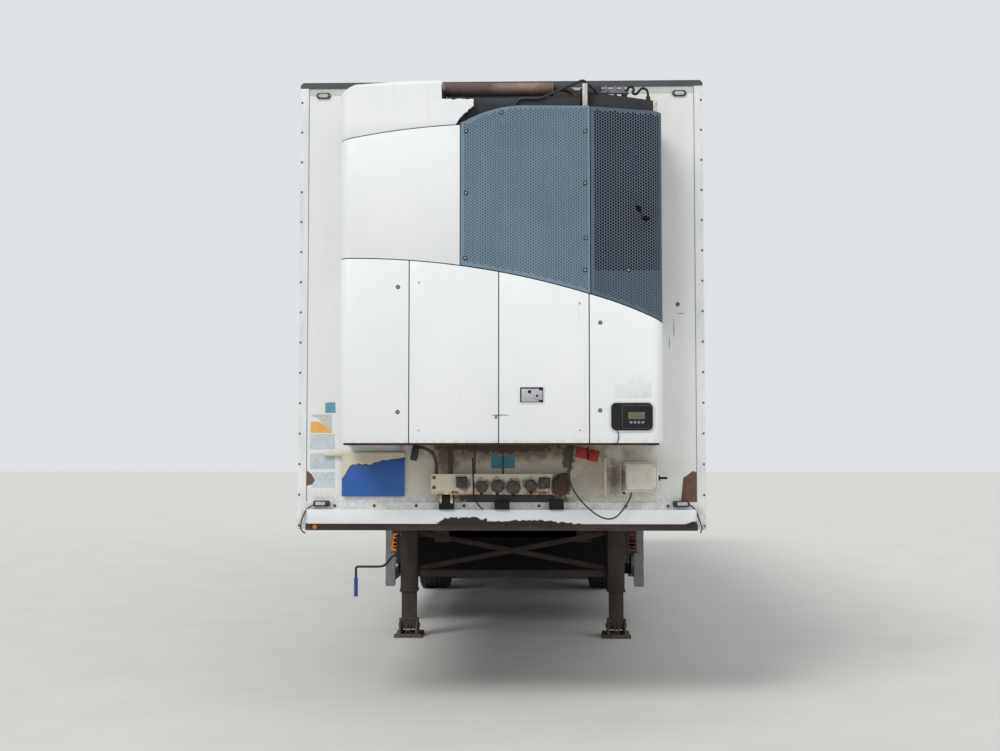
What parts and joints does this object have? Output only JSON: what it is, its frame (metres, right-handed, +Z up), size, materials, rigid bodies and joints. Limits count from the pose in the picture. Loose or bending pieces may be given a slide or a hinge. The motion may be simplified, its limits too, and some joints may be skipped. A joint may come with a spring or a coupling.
{
  "type": "refrigerated semi trailer",
  "caption": "Box semi trailer for chilled freight, standing on its landing legs, with a nose-mounted cooling unit, rear swing doors and single tyres.",
  "frame": {"origin": "on the ground, midway between the unit's front and the rear doors, on the centre plane", "axes": "+Z up, +Y from the nose to the rear doors, +X to the right seen from in front"},
  "size_m": [2.734, 14.0583, 4.05],
  "materials": {
    "white_panel": "white polyester-coated sandwich panel",
    "unit_white": "white gel-coated moulding",
    "grille": "blue-grey moulded grille",
    "aluminium": "extruded, weathered",
    "dark_trim": "dark grey cap",
    "white_steel": "white enamel, chipped",
    "cream_steel": "cream enamel, rusty edges",
    "chassis_steel": "dark primer with rust",
    "bare_steel": "greased forging",
    "stainless": "brushed stainless",
    "crank_steel": "black rod with a blue grip",
    "guard": "anodised side guard",
    "box_black": "black box",
    "tank": "tank sheet",
    "chock": "orange chock",
    "bellows": "rubber bellows",
    "lamp": "lamp lens",
    "unit_steel": "rusty brown frame",
    "muffler": "rusted exhaust",
    "black_plastic": "black housing",
    "evaporator": "white cover",
    "cable": "black cable sheath",
    "tyre": "worn tyre",
    "rim": "silver enamel"
  },
  "bodies": {
    "trailer": {"bulkhead": "white_panel", "wall_left": "white_panel", "wall_right": "white_panel", "roof": "white_panel", "floor": "aluminium", "edge_extrusions": "aluminium", "roof_cap": "dark_trim", "bottom_rails": "aluminium", "front_bumper": "white_steel", "rub_plate": "chassis_steel", "kingpin": "bare_steel", "chassis": "chassis_steel", "landing_legs": "chassis_steel", "leg_feet": "chassis_steel", "crank_handle": "crank_steel", "side_guards": "guard", "chock_holders": "chassis_steel", "wheel_chocks": "chock", "pallet_box": "box_black", "tanks": "tank", "axles": "chassis_steel", "trailing_arms": "chassis_steel", "air_springs": "bellows", "mudguards": "box_black", "rear_frame": "stainless", "rear_underrun": "chassis_steel", "lamps": "lamp", "unit_frame": "unit_steel", "unit_side_panels": "unit_white", "unit_upper_panel": "unit_white", "unit_fairing": "unit_white", "unit_grilles": "grille", "unit_coil": "unit_steel", "unit_engine": "unit_steel", "unit_muffler": "muffler", "unit_controller": "black_plastic", "evaporator": "evaporator", "coupling_bracket": "cream_steel", "couplings": "black_plastic", "junction_box": "cream_steel", "front_lines": "black_plastic", "cable_loop": "cable"},
    "wheel_1_left": {"tyre_1_left": "tyre", "rim_1_left": "rim"},
    "wheel_1_right": {"tyre_1_right": "tyre", "rim_1_right": "rim"},
    "wheel_2_left": {"tyre_2_left": "tyre", "rim_2_left": "rim"},
    "wheel_2_right": {"tyre_2_right": "tyre", "rim_2_right": "rim"},
    "wheel_3_left": {"tyre_3_left": "tyre", "rim_3_left": "rim"},
    "wheel_3_right": {"tyre_3_right": "tyre", "rim_3_right": "rim"},
    "rear_door_left": {"door_left": "white_panel", "door_left_gear": "stainless"},
    "service_door_left": {"unit_door_left": "unit_white"},
    "rear_door_right": {"door_right": "white_panel", "door_right_gear": "stainless"},
    "service_door_right": {"unit_door_right": "unit_white"}
  },
  "joints": [
    {"name": "wheel_1_left_spin", "type": "hinge", "parent": "trailer", "child": "wheel_1_left", "pos_m": [-1.02, 1.38, 0.536], "axis": [1, 0, 0], "continuous": true},
    {"name": "wheel_1_right_spin", "type": "hinge", "parent": "trailer", "child": "wheel_1_right", "pos_m": [1.02, 1.38, 0.536], "axis": [1, 0, 0], "continuous": true},
    {"name": "wheel_2_left_spin", "type": "hinge", "parent": "trailer", "child": "wheel_2_left", "pos_m": [-1.02, 2.69, 0.536], "axis": [1, 0, 0], "continuous": true},
    {"name": "wheel_2_right_spin", "type": "hinge", "parent": "trailer", "child": "wheel_2_right", "pos_m": [1.02, 2.69, 0.536], "axis": [1, 0, 0], "continuous": true},
    {"name": "wheel_3_left_spin", "type": "hinge", "parent": "trailer", "child": "wheel_3_left", "pos_m": [-1.02, 4, 0.536], "axis": [1, 0, 0], "continuous": true},
    {"name": "wheel_3_right_spin", "type": "hinge", "parent": "trailer", "child": "wheel_3_right", "pos_m": [1.02, 4, 0.536], "axis": [1, 0, 0], "continuous": true},
    {"name": "rear_door_left_hinge", "type": "hinge", "parent": "trailer", "child": "rear_door_left", "pos_m": [-1.286, 7.002, 2.6], "axis": [0, 0, 1], "range_deg": [0, 255]},
    {"name": "rear_door_right_hinge", "type": "hinge", "parent": "trailer", "child": "rear_door_right", "pos_m": [1.286, 7.002, 2.6], "axis": [0, 0, -1], "range_deg": [0, 255]},
    {"name": "service_door_left_hinge", "type": "hinge", "parent": "trailer", "child": "service_door_left", "pos_m": [-0.546, -7.02, 2.2], "axis": [0, 0, -1], "range_deg": [0, 110]},
    {"name": "service_door_right_hinge", "type": "hinge", "parent": "trailer", "child": "service_door_right", "pos_m": [0.549, -7.02, 2.2], "axis": [0, 0, 1], "range_deg": [0, 110]}
  ]
}
